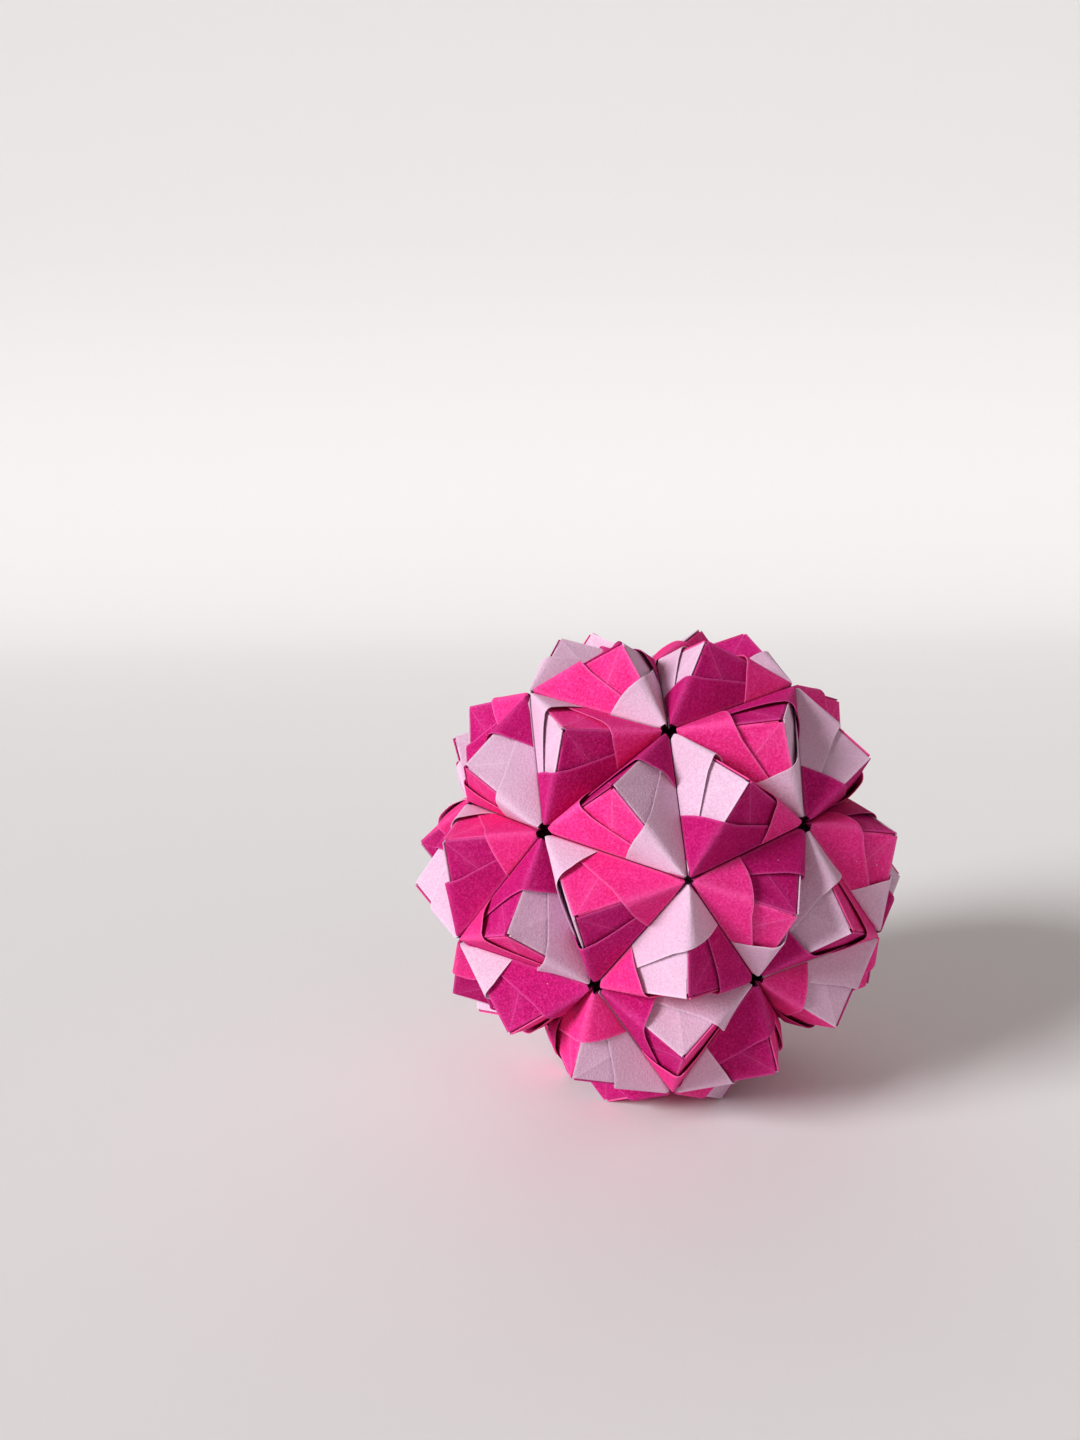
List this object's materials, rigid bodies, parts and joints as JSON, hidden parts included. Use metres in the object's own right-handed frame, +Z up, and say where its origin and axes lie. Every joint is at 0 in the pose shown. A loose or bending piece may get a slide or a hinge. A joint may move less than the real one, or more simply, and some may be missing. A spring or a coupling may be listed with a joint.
{
  "type": "kusudama paper ball",
  "caption": "Ball of folded paper units in three pinks, whose tabs tuck into each other's pockets and raise three-sided pyramids all over it.",
  "frame": {"origin": "middle of the ball's footprint, on the surface that its six lowest tips rest on", "axes": "+Z up through the top joint of six units, -Y towards the front joint of five units, +X to the right"},
  "size_m": [0.1326, 0.1308, 0.124],
  "materials": {
    "magenta": "matte",
    "hot_pink": "matte",
    "pale_pink": "matte"
  },
  "bodies": {
    "root": {"hot_pink_unit_01": "hot_pink", "hot_pink_unit_02": "hot_pink", "hot_pink_unit_03": "hot_pink", "hot_pink_unit_04": "hot_pink", "hot_pink_unit_05": "hot_pink", "hot_pink_unit_06": "hot_pink", "hot_pink_unit_07": "hot_pink", "hot_pink_unit_08": "hot_pink", "hot_pink_unit_09": "hot_pink", "hot_pink_unit_10": "hot_pink", "hot_pink_unit_11": "hot_pink", "hot_pink_unit_12": "hot_pink", "hot_pink_unit_13": "hot_pink", "hot_pink_unit_14": "hot_pink", "hot_pink_unit_15": "hot_pink", "hot_pink_unit_16": "hot_pink", "hot_pink_unit_17": "hot_pink", "hot_pink_unit_18": "hot_pink", "hot_pink_unit_19": "hot_pink", "hot_pink_unit_20": "hot_pink", "magenta_unit_01": "magenta", "magenta_unit_02": "magenta", "magenta_unit_03": "magenta", "magenta_unit_04": "magenta", "magenta_unit_05": "magenta", "magenta_unit_06": "magenta", "magenta_unit_07": "magenta", "magenta_unit_08": "magenta", "magenta_unit_09": "magenta", "magenta_unit_10": "magenta", "magenta_unit_11": "magenta", "magenta_unit_12": "magenta", "magenta_unit_13": "magenta", "magenta_unit_14": "magenta", "magenta_unit_15": "magenta", "magenta_unit_16": "magenta", "magenta_unit_17": "magenta", "magenta_unit_18": "magenta", "magenta_unit_19": "magenta", "magenta_unit_20": "magenta", "pale_pink_unit_01": "pale_pink", "pale_pink_unit_02": "pale_pink", "pale_pink_unit_03": "pale_pink", "pale_pink_unit_04": "pale_pink", "pale_pink_unit_05": "pale_pink", "pale_pink_unit_06": "pale_pink", "pale_pink_unit_07": "pale_pink", "pale_pink_unit_08": "pale_pink", "pale_pink_unit_09": "pale_pink", "pale_pink_unit_10": "pale_pink", "pale_pink_unit_11": "pale_pink", "pale_pink_unit_12": "pale_pink", "pale_pink_unit_13": "pale_pink", "pale_pink_unit_14": "pale_pink", "pale_pink_unit_15": "pale_pink", "pale_pink_unit_16": "pale_pink", "pale_pink_unit_17": "pale_pink", "pale_pink_unit_18": "pale_pink", "pale_pink_unit_19": "pale_pink", "pale_pink_unit_20": "pale_pink"}
  },
  "joints": []
}
